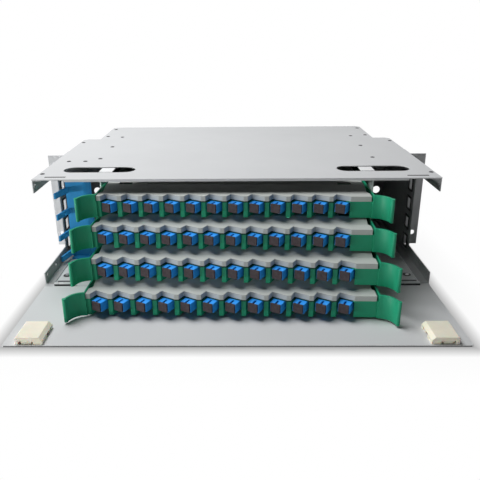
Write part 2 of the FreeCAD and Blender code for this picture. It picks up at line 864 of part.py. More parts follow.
def tray_lid(number):
    """The lid: a sawtooth ridge over the adapters, a slope and a raised deck behind it."""
    body = new_body(f"tray_{number}_lid")
    half = S.deck_width / 2
    back = S.tray_depth - S.tray_corner
    skin = S.lid_skin
    under = S.ridge_height - skin
    first = S.cell_first
    peak = adapter_peak()
    end = first + S.cell_count * S.cell_pitch

    sketch = new_sketch(body, "YZ", -half)
    deck = S.ridge_depth + S.step_run
    draw_outline(sketch, [
        (S.ridge_depth - skin, under),
        (S.ridge_depth + skin / 2, under),
        (deck + skin / 2, S.lid_height - skin),
        (back, S.lid_height - skin),
        (back, S.lid_height),
        (deck - skin / 2, S.lid_height),
        (S.ridge_depth - skin / 2, S.ridge_height),
        (S.ridge_depth - skin, S.ridge_height),
    ])
    pad(body, sketch, S.deck_width)

    sketch = new_sketch(body, "XY", under)
    draw_outline(sketch, [
        (first, 0.0),
        (first + S.post_width, 0.0),
        (first + peak[0], peak[1]),
        (first + S.cell_pitch, S.notch_depth),
        (first + S.cell_pitch, S.ridge_flat),
        (first, S.ridge_flat),
    ])
    roof = pad(body, sketch, skin)
    sketch = new_sketch(body, "XY", S.post_height)
    draw_outline(sketch, [
        (first, 0.0),
        (first + S.post_width, 0.0),
        (first + peak[0], peak[1]),
        (first + S.cell_pitch, S.notch_depth),
        (first + S.cell_pitch, S.notch_depth + skin),
        (first + peak[0], peak[1] + S.skirt_thickness),
        (first + S.post_width - skin, S.skirt_thickness),
        (first + skin, S.skirt_thickness),
        (first + skin, S.notch_depth + skin),
        (first, S.notch_depth + skin),
    ])
    skirt = pad(body, sketch, under - S.post_height)
    pattern(body, [roof, skirt], S.cell_count, S.cell_pitch)

    slab(body, end, 0.0, S.ridge_right, S.skirt_thickness, S.post_height, under)
    slab(body, end, 0.0, S.ridge_right, S.ridge_flat, under, S.ridge_height)
    sketch = new_sketch(body, "XY", under)
    draw_outline(sketch, [
        (first, S.ridge_flat),
        (S.ridge_right, S.ridge_flat),
        (half, S.ridge_depth),
        (-half, S.ridge_depth),
    ])
    pad(body, sketch, skin)

    floor = S.base_bottom + S.base_thickness
    for side in (-1, 1):
        sketch = new_sketch(body, "YZ", side * half - (skin if side > 0 else 0.0))
        draw_outline(sketch, [
            (S.ridge_depth, floor),
            (back, floor),
            (back, S.lid_height - skin / 2),
            (deck, S.lid_height - skin / 2),
            (S.ridge_depth, S.ridge_height - skin / 2),
        ])
        pad(body, sketch, skin)
    place_tray_piece(body, number)


def adapter_sketch(body, reach):
    """A sketch square to the first adapter's axis, at a reach in front of its seat."""
    peak = adapter_peak()
    seat_x = S.cell_first + (peak[0] + S.cell_pitch) / 2
    seat_y = (peak[1] + S.notch_depth) / 2
    reach = as_size(reach)
    x = seat_x - sine(S.adapter_turn) * reach
    y = seat_y - cosine(S.adapter_turn) * reach
    middle = S.adapter_bottom + S.adapter_height / 2
    return new_sketch(body, "XZ", -y, shift=(x, middle), turn=-S.adapter_turn)


def draw_centred(sketch, width, height):
    draw_rectangle(sketch, -width / 2, -height / 2, width / 2, height / 2)


def tray_adapters(number):
    """Twelve square-bodied adapters, each with a keyway in the top of its mouth."""
    body = new_body(f"tray_{number}_adapters")
    sketch = adapter_sketch(body, -S.adapter_back)
    draw_centred(sketch, S.adapter_width, S.adapter_height)
    sleeve = pad(body, sketch, S.adapter_back + S.adapter_front - S.key_length)

    sketch = adapter_sketch(body, S.adapter_front - S.key_length)
    wide = S.adapter_width / 2
    tall = S.adapter_height / 2
    hole = S.port_width / 2
    roof = S.port_height / 2
    key = S.key_width / 2
    right = [(key, roof), (key, tall), (wide, tall), (wide, -tall)]
    inside = [(hole, -roof), (hole, roof)]
    draw_outline(sketch, right + mirrored(right) + mirrored(inside) + inside)
    mouth = pad(body, sketch, S.key_length)
    pattern(body, [sleeve, mouth], S.cell_count, S.cell_pitch)
    place_tray_piece(body, number)


def tray_dust_caps(number):
    """Push-in dust caps, one in the mouth of each adapter."""
    body = new_body(f"tray_{number}_dust_caps")
    sketch = adapter_sketch(body, S.adapter_front)
    draw_centred(sketch, S.cap_width, S.cap_height)
    cap = pad(body, sketch, S.cap_thickness)
    sketch = adapter_sketch(body, S.adapter_front - S.plug_length)
    draw_centred(sketch, S.port_width - 2 * S.plug_clearance, S.port_height - 2 * S.plug_clearance)
    plug = pad(body, sketch, S.plug_length)
    pattern(body, [cap, plug], S.cell_count, S.cell_pitch)
    place_tray_piece(body, number)


def build():
    top_cover()
    bottom_plate()
    rear_panel()
    for name, side in SIDES.items():
        side_panel(name, side)
        rack_ear(name, side)
        tray_rack(name, side)
        latch(name, side)
    front_door()
    fibre_guide()
    for number in TRAYS:
        tray_base(number)
        tray_lid(number)
        tray_adapters(number)
        tray_dust_caps(number)
    DOC.recompute()


def check_and_write():
    """Stop on any failed object, then write each sub-part to its file."""
    failed = [item.Label for item in DOC.Objects if {"Invalid", "Error"} & set(item.State)]
    broken = [item.Label for item in NODES if item.Shape.isNull() or not item.Shape.isValid()]
    if failed or broken:
        raise RuntimeError(f"failed objects {failed}, broken shapes {broken}")
    os.makedirs("parts", exist_ok=True)
    for item in NODES:
        item.Shape.exportStep(f"parts/{item.Label}.step")
        print(f"{item.Label}: {len(item.Shape.Solids)} solids, {item.Shape.Volume:.0f} cubic mm")


build()
check_and_write()
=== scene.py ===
import json
import math

import bmesh
import bpy
from mathutils import Matrix, Vector


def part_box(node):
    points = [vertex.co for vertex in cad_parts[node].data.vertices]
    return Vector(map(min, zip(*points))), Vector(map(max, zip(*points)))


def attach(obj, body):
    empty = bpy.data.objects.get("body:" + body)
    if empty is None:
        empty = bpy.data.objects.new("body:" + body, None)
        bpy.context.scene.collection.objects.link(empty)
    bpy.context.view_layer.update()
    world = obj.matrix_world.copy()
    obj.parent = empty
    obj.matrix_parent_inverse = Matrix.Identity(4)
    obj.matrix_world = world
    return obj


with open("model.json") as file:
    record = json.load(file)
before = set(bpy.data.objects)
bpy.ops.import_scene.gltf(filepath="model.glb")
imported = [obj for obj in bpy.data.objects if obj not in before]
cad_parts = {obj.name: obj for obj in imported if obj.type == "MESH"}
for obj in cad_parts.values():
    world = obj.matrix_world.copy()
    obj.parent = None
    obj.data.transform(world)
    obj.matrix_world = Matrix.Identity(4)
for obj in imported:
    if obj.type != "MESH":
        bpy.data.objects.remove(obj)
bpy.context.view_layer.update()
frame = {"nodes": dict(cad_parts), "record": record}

bl_info = {
    "name": "Fibre patch panel looks",
    "version": (1, 0, 0),
    "blender": (4, 5, 0),
    "location": "View3D > Sidebar > Patch panel",
    "description": "Finishes, fasteners and studio stage for a rack-mount fibre patch panel",
    "category": "Object",
}

MM = 0.001
TRAYS = ("tray_1", "tray_2", "tray_3", "tray_4")
SIDES = {"left": -1, "right": 1}
PAINTED = ("top_cover", "bottom_plate", "rear_panel", "left_side_panel", "right_side_panel",
           "left_rack_ear", "right_rack_ear", "front_door")

# Places on the case, its door and its trays
COVER_LOW, COVER_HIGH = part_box("top_cover")
DOOR_LOW, DOOR_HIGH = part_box("front_door")
FRONT = COVER_LOW.y
STEP = FRONT + 216.0 * MM
SHEET = 1.2 * MM
PLATE_TOP = SHEET
REAR_HALF = 197.0 * MM
EAR_FACE = 222.0 * MM
STRIP_MIDDLE = 219.4 * MM
# The hinges' barrels and the door's front edge, which are painted dark as shade
HINGE_SPAN, HINGE_REACH = (185.0 * MM, 209.0 * MM), 3.0 * MM
RIM_DEPTH = 0.3 * MM
FLANGE_GAP = 0.05 * MM
TRAY_FLOOR, TRAY_PITCH = 5.0 * MM, 28.0 * MM
# The band under each lid's front that is painted dark as shade: its heights in a tray and its span across
LID_SHADE_LEVELS, LID_SHADE_SPAN = (14.9 * MM, 16.5 * MM), (-145.5 * MM, 117.0 * MM)

# Small features, in mm from the middle and mm behind the cover's front edge
COVER_SCREWS = ((168.0, 94.5), (168.0, 163.0), (168.0, 230.0), (215.5, 22.7), (215.5, 193.0),
                (190.5, 236.0), (190.5, 292.0))
GUIDE_SCREWS = ((-203.0, 81.0), (-183.0, 81.0))
FLOOR_STUDS = ((202.0, 25.0),)
CORNER_SLOTS = ((197.0, 9.2),)

# Small features of the sides, in mm behind the cover's front edge and mm up
EAR_SCREWS = ((131.0, 32.0), (131.0, 95.0))
STRIP_HOLES = ((7.7, 10.9), (38.0, 9.6), (5.0, 119.3))

# Heads of the floor studs and ear screws, in heights of a cover screw's head
STUD_RISE, EAR_RISE = 3.0, 2.0

# A screw's rounding and its drive's depth, in heights of its head, and its drive's rim, in radii
HEAD_ROUNDING, DRIVE_DEPTH, DRIVE_RIM = 0.6, 0.7, 0.35
HEAD_SIDES, HEAD_SEGMENTS, WASHER_SEGMENTS = 24, 3, 2

# Depth of a slot's dark liner trough, which paints the shade in the slot, in heights of the liner
TROUGH_DEPTH = 0.7

# Rounded edges and cut-outs of the solids
EDGE_SEGMENTS, ROUND_PROFILE, SHARP_ANGLE = 2, 0.5, math.radians(35.0)
WELD_REACH, DECK_TOLERANCE = 0.002 * MM, 0.01 * MM
PUNCH_DEPTH, PUNCH_SIDES = 8.0 * MM, 20

# Detail of the noise behind a finish, and the spans of it that count
DRIFT_DETAIL, DRIFT_SPAN = 3.0, (0.3, 0.7)
SMUDGE_SCALE, SMUDGE_DETAIL, SMUDGE_SPAN = 31.0, 6.0, (0.35, 0.7)
FINE_DETAIL, RIPPLE_DETAIL, SPECK_SPAN = 2.0, 1.0, (0.45, 0.75)
SPECK_TONE, ROUGH_SPREAD, GRAIN_DEPTH = 0.55, (-0.05, 0.07), 0.2 * MM

# Where a finish is painted darker as shade: the effect, its output and the share of the tone that is left
CASE_MASKS = (("painted_case_shade", "Inside", 0.55), ("painted_case_shade", "HingeShade", 0.05), ("painted_case_shade", "RimShade", 0.3))
TRAY_MASKS = (("painted_lid_shade", "LidShade", 0.15),)

# Numbers of a mix node's sockets for colours
MIX_COLOURS, MIX_RESULT = (6, 7), 2

# Floor, its real and painted shadow round the object, lamps and lens
FLOOR_REACH, FLOOR_LEVEL, PIT_RIM = 4.0, -0.4 * MM, 12.0 * MM
FLOOR_TINT, FLOOR_ROUGHNESS = (0.9, 0.9, 0.9, 1.0), 0.9
SHADOW_EDGE, SHADOW_REACH, SHADOW_DEPTH = 0.004, 0.06, 0.1
PAINTED_SHADOW_REACH, PAINTED_SHADOW_TONE = 0.016, 0.42
OVERHEAD_LAMP = {"place": (-0.5, 0.06, 1.2), "target": (0.0, 0.0, 0.05), "size": (0.9, 0.9)}
FRONT_LAMP = {"place": (-0.88, -0.60, 0.02), "target": (0.0, 0.0, 0.08), "size": (0.6, 0.04)}
SENSOR_WIDTH, NEAREST_VIEW = 36.0, 0.01


def behind(distance):
    """Turn a distance behind the cover's front edge, in mm, into a Y coordinate."""
    return FRONT + distance * MM


def both_sides(points):
    """Places on the left and, mirrored, on the right."""
    return [(side * x, y) for x, y in points for side in SIDES.values()]


# Sizes and colours that a user would change

def length(name, description, default):
    """A setting in metres."""
    return bpy.props.FloatProperty(name=name, description=description, default=default, min=0.0,
                                   unit="LENGTH", precision=5)


def colour(name, description, default):
    """A setting that is a colour."""
    return bpy.props.FloatVectorProperty(name=name, description=description, default=default, size=3,
                                         min=0.0, max=1.0, subtype="COLOR")


class PanelSizes(bpy.types.PropertyGroup):
    """Sizes of the small pieces and of the rounded edges."""

    sheet_edge: length("Sheet edge", "Rounding of the sheet metal's edges", 0.25 * MM)
    plastic_edge: length("Plastic edge", "Rounding of the moulded trays' edges", 0.35 * MM)
    small_edge: length("Small edge", "Rounding of the adapters' and caps' edges", 0.2 * MM)
    head_radius: length("Screw head", "Radius of a screw's head", 2.6 * MM)
    head_height: length("Head height", "Height of a cover screw's head", 0.45 * MM)
    hole_radius: length("Strip hole", "Radius of the holes in the side strips", 1.6 * MM)
    slot_length: length("Lid slot length", "Length of the slots in a tray's lid", 15.0 * MM)
    slot_width: length("Lid slot width", "Width of the slots in a tray's lid", 8.5 * MM)
    slot_inset: length("Lid slot inset", "From a deck's end to the middle of its slot", 21.0 * MM)
    slot_setback: length("Lid slot setback", "From a deck's front edge to the middle of its slot", 6.0 * MM)
    # The corner slots' liners and the windows' frames are dark pieces that paint shade
    shade_liner_length: length("Trim length", "Length of the trims in the corner slots", 23.0 * MM)
    shade_liner_width: length("Trim width", "Width of the trims in the corner slots", 3.2 * MM)
    shade_liner_wall: length("Trim wall", "Wall of the trims in the corner slots", 0.8 * MM)
    shade_liner_height: length("Trim height", "How far the trims stand above the sheet", 0.15 * MM)
    washer_radius: length("Washer", "Radius of the washers under the floor studs", 4.6 * MM)
    shade_frame_reach: length("Edging reach", "How far the windows' edging reaches round them", 1.8 * MM)
    shade_frame_height: length("Edging height", "How far the windows' edging stands in from the wall", 1.0 * MM)
    corner_flange: length("Corner flange", "Width of the flanges that close the rear corners", 10.0 * MM)


class PanelColours(bpy.types.PropertyGroup):
    """Colours of the finishes, in linear light."""

    paint: colour("Paint", "Powder coat of the case", (0.60, 0.61, 0.62))
    white: colour("White", "Powder coat of the tray rack", (0.80, 0.81, 0.82))
    green: colour("Green", "Moulded tray bases and handles", (0.016, 0.31, 0.165))
    lid: colour("Lid", "Moulded tray lids", (0.475, 0.50, 0.48))
    blue: colour("Blue", "Adapter bodies", (0.03, 0.33, 0.95))
    cap: colour("Cap", "Soft dust caps", (0.062, 0.05, 0.054))
    guide: colour("Guide", "Fibre guide comb", (0.028, 0.245, 0.53))
    ivory: colour("Ivory", "Latches", (0.84, 0.80, 0.66))
    zinc: colour("Zinc", "Floor studs and ear screws", (0.35, 0.35, 0.36))
    black: colour("Black", "Cover screws", (0.045, 0.045, 0.05))
    # This colour paints the shade in the corner slots and round the windows, and colours the studs' washers
    shade_liner_and_washer: colour("Trim", "Slot trims, window edging and washers", (0.02, 0.022, 0.022))


class PanelStage(bpy.types.PropertyGroup):
    """Camera and light."""

    focal: bpy.props.FloatProperty(name="Focal length", description="Lens length on a 36 mm sensor",
                                   default=40.22, min=1.0, subtype="DISTANCE_CAMERA")
    pitch: bpy.props.FloatProperty(name="Pitch", description="How far the camera looks down",
                                   default=math.radians(19.45), subtype="ANGLE")
    yaw: bpy.props.FloatProperty(name="Yaw", description="How far the camera turns to the right",
                                 default=math.radians(-0.89), subtype="ANGLE")
    roll: bpy.props.FloatProperty(name="Roll", description="How far the camera leans",
                                  default=math.radians(-0.54), subtype="ANGLE")
    place: bpy.props.FloatVectorProperty(name="Place", description="Where the camera stands",
                                         default=(0.0023, -0.6723, 0.2814), size=3, subtype="TRANSLATION")
    shift: bpy.props.FloatVectorProperty(name="Shift", description="Lens shift across and up",
                                         default=(0.0205, -0.0525), size=2)
    overhead: bpy.props.FloatProperty(name="Overhead", description="Power of the light above the case",
                                      default=17.9, min=0.0, unit="POWER")
    front: bpy.props.FloatProperty(name="Front", description="Power of the low light at the front left",
                                   default=4.4, min=0.0, unit="POWER")
    ambient: bpy.props.FloatProperty(name="Ambient", description="Strength of the light from all round",
                                     default=0.03, min=0.0)


# Shader nodes

def feed(tree, value, socket):
    """Link a socket to another one, or set it to a plain value."""
    if isinstance(value, bpy.types.NodeSocket):
        tree.links.new(value, socket)
    else:
        socket.default_value = value


def own_place(tree):
    """A piece's own coordinates, which move with it."""
    return tree.nodes.new("ShaderNodeTexCoord").outputs["Object"]


def axes_of(tree, vector):
    """The X, Y and Z of a vector."""
    node = tree.nodes.new("ShaderNodeSeparateXYZ")
    tree.links.new(vector, node.inputs["Vector"])
    return tuple(node.outputs)


def noise(tree, vector, scale, detail):
    """Noise whose scale may be a socket or a plain number."""
    node = tree.nodes.new("ShaderNodeTexNoise")
    node.inputs["Detail"].default_value = detail
    tree.links.new(vector, node.inputs["Vector"])
    feed(tree, scale, node.inputs["Scale"])
    return node.outputs["Fac"]


def mixed(tree, factor, first, second):
    """Mix two colours; each may be a socket or a plain colour."""
    node = tree.nodes.new("ShaderNodeMix")
    node.data_type = "RGBA"
    tree.links.new(factor, node.inputs["Factor"])
    for item, number in zip((first, second), MIX_COLOURS):
        feed(tree, item, node.inputs[number])
    return node.outputs[MIX_RESULT]


def ranged(tree, value, low, high, new_low=0.0, new_high=1.0):
    """Map one stretch of a value to another."""
    node = tree.nodes.new("ShaderNodeMapRange")
    tree.links.new(value, node.inputs["Value"])
    for label, number in (("From Min", low), ("From Max", high), ("To Min", new_low), ("To Max", new_high)):
        node.inputs[label].default_value = number
    return node.outputs["Result"]


def maths(tree, operation, *values):
    """Work out one sum; each value may be a socket or a plain number."""
    node = tree.nodes.new("ShaderNodeMath")
    node.operation = operation
    for value, socket in zip(values, node.inputs):
        feed(tree, value, socket)
    return node.outputs["Value"]


def within(tree, value, low, high):
    """One where a value lies between two limits, nothing elsewhere."""
    above = maths(tree, "GREATER_THAN", value, low)
    below = maths(tree, "LESS_THAN", value, high)
    return maths(tree, "MULTIPLY", above, below)


# Shared shader effects

def new_group(name, inputs, outputs):
    """A shader node group with named float or colour sockets, and its input and output nodes."""
    group = bpy.data.node_groups.new(name, "ShaderNodeTree")
    kinds = {"float": "NodeSocketFloat", "colour": "NodeSocketColor"}
    for label, kind, default in inputs:
        socket = group.interface.new_socket(name=label, in_out="INPUT", socket_type=kinds[kind])
        socket.default_value = default
    for label, kind in outputs:
        group.interface.new_socket(name=label, in_out="OUTPUT", socket_type=kinds[kind])
    entry = group.nodes.new("NodeGroupInput")
    leave = group.nodes.new("NodeGroupOutput")
    return group, entry, leave


def build_tone(name):
    """Slow drifts of tone and faint smudges over a surface."""
    group, entry, leave = new_group(
        name,
        [("Light", "colour", (0.8, 0.8, 0.8, 1.0)), ("Dark", "colour", (0.6, 0.6, 0.6, 1.0)),
         ("Scale", "float", 8.0)],
        [("Colour", "colour"), ("Smudge", "float")],
    )
    where = own_place(group)
    drift = noise(group, where, entry.outputs["Scale"], DRIFT_DETAIL)
    smudge = noise(group, where, SMUDGE_SCALE, SMUDGE_DETAIL)
    tint = mixed(group, ranged(group, drift, *DRIFT_SPAN), entry.outputs["Light"], entry.outputs["Dark"])
    group.links.new(tint, leave.inputs["Colour"])
    group.links.new(ranged(group, smudge, *SMUDGE_SPAN), leave.inputs["Smudge"])


def build_grain(name):
    """The fine skin of powder coat or of an eroded mould."""
    group, entry, leave = new_group(
        name,
        [("Scale", "float", 1500.0), ("Ripple", "float", 260.0)],
        [("Height", "float"), ("Speck", "float")],
    )
    where = own_place(group)
    fine = noise(group, where, entry.outputs["Scale"], FINE_DETAIL)
    ripple = noise(group, where, entry.outputs["Ripple"], RIPPLE_DETAIL)
    group.links.new(maths(group, "ADD", fine, ripple), leave.inputs["Height"])
    group.links.new(ranged(group, fine, *SPECK_SPAN), leave.inputs["Speck"])


def build_painted_case_shade(name):
    """Marks where the case is painted darker as shade: its inner faces, its hinges' barrels and its door's
    front edge.
    """
    group, _, leave = new_group(name, [], [("Inside", "float"), ("HingeShade", "float"), ("RimShade", "float")])
    x, y, z = axes_of(group, own_place(group))
    across = maths(group, "ABSOLUTE", x)
    half = SHEET / 2
    wide = maths(group, "MULTIPLY", maths(group, "LESS_THAN", across, COVER_HIGH.x - half),
                 within(group, y, FRONT + half, STEP - half))
    narrow = maths(group, "MULTIPLY", maths(group, "LESS_THAN", across, REAR_HALF - half),
                   within(group, y, STEP - half, COVER_HIGH.y - half))
    level = within(group, z, PLATE_TOP + half, COVER_HIGH.z - half)
    barrel = maths(group, "MULTIPLY", within(group, across, *HINGE_SPAN),
                   within(group, y, FRONT - HINGE_REACH, FRONT - half))
    # Painted shade: the inner faces, the front half of the hinges' barrels and the door's front edge
    marks = {
        "Inside": maths(group, "MULTIPLY", maths(group, "MAXIMUM", wide, narrow), level),
        "HingeShade": maths(group, "MULTIPLY", barrel, maths(group, "LESS_THAN", z, HINGE_REACH)),
        "RimShade": maths(group, "LESS_THAN", y, DOOR_LOW.y + RIM_DEPTH),
    }
    for label, mark in marks.items():
        group.links.new(mark, leave.inputs[label])


def build_painted_lid_shade(name):
    """Marks the band between a tray's front and its lid that is painted dark as the shade under the lid,
    which recurs from tray to tray.
    """
    group, _, leave = new_group(name, [], [("LidShade", "float")])
    x, _, z = axes_of(group, own_place(group))
    level = maths(group, "MODULO", maths(group, "SUBTRACT", z, TRAY_FLOOR), TRAY_PITCH)
    painted_shadow = maths(group, "MULTIPLY", within(group, level, *LID_SHADE_LEVELS), within(group, x, *LID_SHADE_SPAN))
    group.links.new(painted_shadow, leave.inputs["LidShade"])


EFFECTS = {"surface_tone": build_tone, "fine_grain": build_grain, "painted_case_shade": build_painted_case_shade,
           "painted_lid_shade": build_painted_lid_shade}


def place_group(tree, name, **values):
    """Put a shared effect in a material, with its own values; the first use builds it."""
    if name not in bpy.data.node_groups:
        EFFECTS[name](name)
    node = tree.nodes.new("ShaderNodeGroup")
    node.node_tree = bpy.data.node_groups[name]
    for label, value in values.items():
        node.inputs[label].default_value = value
    return node


# Finishes and cut-outs of the solids

def shade(tint, amount):
    """A colour made lighter or darker, with full alpha."""
    return (*(min(1.0, part * amount) for part in tint), 1.0)


def finish_material(name, tint, rough, drift=0.08, scale=8.0, grain=1500.0, ripple=260.0, bump=0.05,
                    speck=0.06, masks=(), **sockets):
    """A moulded, painted or plated finish with tone, grain and smudges; each mask paints shade, darkening it
    where the mask is one.
    """
    material = bpy.data.materials.new(name)
    material.use_nodes = True
    material.diffuse_color = shade(tint, 1.0)
    tree = material.node_tree
    surface = tree.nodes["Principled BSDF"]
    tone = place_group(tree, "surface_tone", Light=shade(tint, 1.0 + drift), Dark=shade(tint, 1.0 - drift),
                       Scale=scale)
    grains = place_group(tree, "fine_grain", Scale=grain, Ripple=ripple)
    specks = ranged(tree, grains.outputs["Speck"], 0.0, 1.0, 0.0, speck)
    tinted = mixed(tree, specks, tone.outputs["Colour"], shade(tint, SPECK_TONE))
    for group, output, amount in masks:
        tinted = mixed(tree, place_group(tree, group).outputs[output], tinted, shade(tint, amount))
    tree.links.new(tinted, surface.inputs["Base Color"])
    smooth, worn = (rough + spread for spread in ROUGH_SPREAD)
    tree.links.new(ranged(tree, tone.outputs["Smudge"], 0.0, 1.0, smooth, worn), surface.inputs["Roughness"])
    relief = tree.nodes.new("ShaderNodeBump")
    relief.inputs["Strength"].default_value = bump
    relief.inputs["Distance"].default_value = GRAIN_DEPTH
    tree.links.new(grains.outputs["Height"], relief.inputs["Height"])
    tree.links.new(relief.outputs["Normal"], surface.inputs["Normal"])
    for label, value in sockets.items():
        surface.inputs[label.replace("_", " ")].default_value = value
    return material


def punch_group(name, kind, sizes, places, turn):
    """A modifier that cuts equal shapes, all turned alike, out of a solid at several places."""
    group = bpy.data.node_groups.new(name, "GeometryNodeTree")
    for way in ("INPUT", "OUTPUT"):
        group.interface.new_socket(name="Geometry", in_out=way, socket_type="NodeSocketGeometry")
    entry = group.nodes.new("NodeGroupInput")
    leave = group.nodes.new("NodeGroupOutput")
    punch = group.nodes.new("GeometryNodeMeshBoolean")
    punch.operation = "DIFFERENCE"
    punch.solver = "EXACT"
    group.links.new(entry.outputs["Geometry"], punch.inputs["Mesh 1"])
    for place in places:
        tool = group.nodes.new(kind)
        for label, value in sizes.items():
            tool.inputs[label].default_value = value
        placed = group.nodes.new("GeometryNodeTransform")
        placed.inputs["Translation"].default_value = place
        placed.inputs["Rotation"].default_value = turn
        group.links.new(tool.outputs["Mesh"], placed.inputs["Geometry"])
        group.links.new(placed.outputs["Geometry"], punch.inputs["Mesh 2"])
    group.links.new(punch.outputs["Mesh"], leave.inputs["Geometry"])
    return group


def strip_punch(side):
    """The small round holes in the strips above and below a side's opening."""
    sizes = bpy.context.scene.panel_sizes
    rod = {"Vertices": PUNCH_SIDES, "Radius": sizes.hole_radius, "Depth": PUNCH_DEPTH}
    places = [(SIDES[side] * STRIP_MIDDLE, behind(y), z * MM) for y, z in STRIP_HOLES]
    turn = (0.0, math.radians(90.0), 0.0)
    return punch_group(f"{side}_strip_holes", "GeometryNodeMeshCylinder", rod, places, turn)


def deck_corners(tray):
    """The two front corners of a lid's raised deck, left one first."""
    points = [vertex.co for vertex in frame["nodes"][f"{tray}_lid"].data.vertices]
    top = max(point.z for point in points)
    deck = [point for point in points if top - point.z < DECK_TOLERANCE]
    return min(deck, key=lambda point: point.x + point.y), max(deck, key=lambda point: point.x - point.y)


def lid_punch(tray):
    """The slot near each end of a lid's deck."""
    sizes = bpy.context.scene.panel_sizes
    left, right = deck_corners(tray)
    across = (right - left).normalized()
    inset = sizes.slot_inset * across
    setback = sizes.slot_setback * Vector((-across.y, across.x, 0.0))
    block = {"Size": (sizes.slot_length, sizes.slot_width, PUNCH_DEPTH)}
    places = (left + inset + setback, right - inset + setback)
    turn = (0.0, 0.0, math.atan2(across.y, across.x))
    return punch_group(f"{tray}_lid_slots", "GeometryNodeMeshCube", block, places, turn)


def dress(node, material, edge, punch=None):
    """Give a solid its finish, cut its small holes and round its edges, without touching its mesh's shape."""
    piece = frame["nodes"][node]
    piece.data.materials.clear()
    piece.data.materials.append(material)
    weld = piece.modifiers.new("Join", "WELD")
    weld.merge_threshold = WELD_REACH
    if punch:
        piece.modifiers.new("Punch", "NODES").node_group = punch
    bevel = piece.modifiers.new("Edges", "BEVEL")
    bevel.width = edge
    bevel.segments = EDGE_SEGMENTS
    bevel.profile = ROUND_PROFILE
    bevel.limit_method = "ANGLE"
    bevel.angle_limit = SHARP_ANGLE
    bevel.harden_normals = True


# Small pieces

def link_mesh(name, shape, material):
    """Turn a finished bmesh into an object of one material."""
    mesh = bpy.data.meshes.new(name)
    shape.to_mesh(mesh)
    shape.free()
    mesh.materials.append(material)
    made = bpy.data.objects.new(name, mesh)
    bpy.context.scene.collection.objects.link(made)
    return made


def new_piece(name, shape, material, body):
    """Turn a finished bmesh into a piece that rides on a body."""
    bmesh.ops.recalc_face_normals(shape, faces=shape.faces[:])
    piece = link_mesh(name, shape, material)
    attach(piece, body)


def add_block(shape, middle, size):
    """A block; give back its corners."""
    place = Matrix.Translation(middle) @ Matrix.Diagonal((*size, 1.0))
    return bmesh.ops.create_cube(shape, size=1.0, matrix=place)["verts"]


def pull_face(shape, face, move):
    """Extrude a face; give back the moved one."""
    grown = bmesh.ops.extrude_face_region(shape, geom=[face])["geom"]
    corners = [item for item in grown if isinstance(item, bmesh.types.BMVert)]
    bmesh.ops.translate(shape, verts=corners, vec=move)
    return [item for item in grown if isinstance(item, bmesh.types.BMFace)][0]


def round_rim(shape, face, offset, segments):
    """Round the edges of a face."""
    bmesh.ops.bevel(shape, geom=list(face.edges), offset=offset, offset_type="OFFSET", segments=segments,
                    profile=ROUND_PROFILE, affect="EDGES", material=-1)


def add_disc(shape, place, radius, height):
    """Grow a round head upwards from a place; give back its top face."""
    made = bmesh.ops.create_circle(shape, cap_ends=True, radius=radius, segments=HEAD_SIDES, matrix=place)
    face = made["verts"][0].link_faces[0]
    return pull_face(shape, face, place.to_3x3() @ Vector((0.0, 0.0, height)))


def add_screw(shape, place, radius, height):
    """A pan head with a rounded rim and a sunk drive."""
    top = add_disc(shape, place, radius, height)
    round_rim(shape, top, height * HEAD_ROUNDING, HEAD_SEGMENTS)
    centre = place @ Vector((0.0, 0.0, height))
    crown = min(shape.faces, key=lambda face: (face.calc_center_median() - centre).length)
    bmesh.ops.inset_individual(shape, faces=[crown], thickness=radius * DRIVE_RIM, use_even_offset=True)
    pull_face(shape, crown, place.to_3x3() @ Vector((0.0, 0.0, -height * DRIVE_DEPTH)))
    bmesh.ops.delete(shape, geom=[crown], context="FACES_ONLY")


def add_trough(shape, middle, size, wall):
    """An open trough: a block with its top inset and sunk."""
    faces = {face for corner in add_block(shape, middle, size) for face in corner.link_faces}
    top = max(faces, key=lambda face: face.calc_center_median().z)
    bmesh.ops.inset_individual(shape, faces=[top], thickness=wall, use_even_offset=True)
    bmesh.ops.translate(shape, verts=list(top.verts), vec=(0.0, 0.0, -TROUGH_DEPTH * size.z))


def add_frame(shape, low, high, wall):
    """Four bars that frame a window in a side wall, between the frame's lowest and highest corners."""
    bars = (
        (low, Vector((high.x, low.y + wall, high.z))),
        (Vector((low.x, high.y - wall, low.z)), high),
        (Vector((low.x, low.y + wall, low.z)), Vector((high.x, high.y - wall, low.z + wall))),
        (Vector((low.x, low.y + wall, high.z - wall)), Vector((high.x, high.y - wall, high.z))),
    )
    for start, end in bars:
        add_block(shape, (start + end) / 2, end - start)


def add_corner_flanges(sizes, material):
    """Close the rear corners, between the side walls' ends and the rear panel's edges, from inside."""
    width = sizes.corner_flange
    low, high = 2.0 * SHEET + FLANGE_GAP, COVER_HIGH.z - 2.0 * SHEET - FLANGE_GAP
    size = Vector((width, SHEET - FLANGE_GAP, high - low))
    shape = bmesh.new()
    for x, y in both_sides([(REAR_HALF - SHEET - width / 2, COVER_HIGH.y - 1.5 * SHEET)]):
        add_block(shape, (x, y, (low + high) / 2), size)
    new_piece("rear_corner_flanges", shape, material, "chassis")


def add_slot_shade_liners(sizes, material):
    """Line the corner slots of the cover and the bottom plate with dark troughs that paint the shade in them.
    """
    size = Vector((sizes.shade_liner_length, sizes.shade_liner_width, sizes.shade_liner_height))
    shape = bmesh.new()
    for x, y in both_sides(CORNER_SLOTS):
        for top in (COVER_HIGH.z, PLATE_TOP):
            add_trough(shape, Vector((x * MM, behind(y), top + size.z / 2)), size, sizes.shade_liner_wall)
    new_piece("corner_slot_shade_liners", shape, material, "chassis")


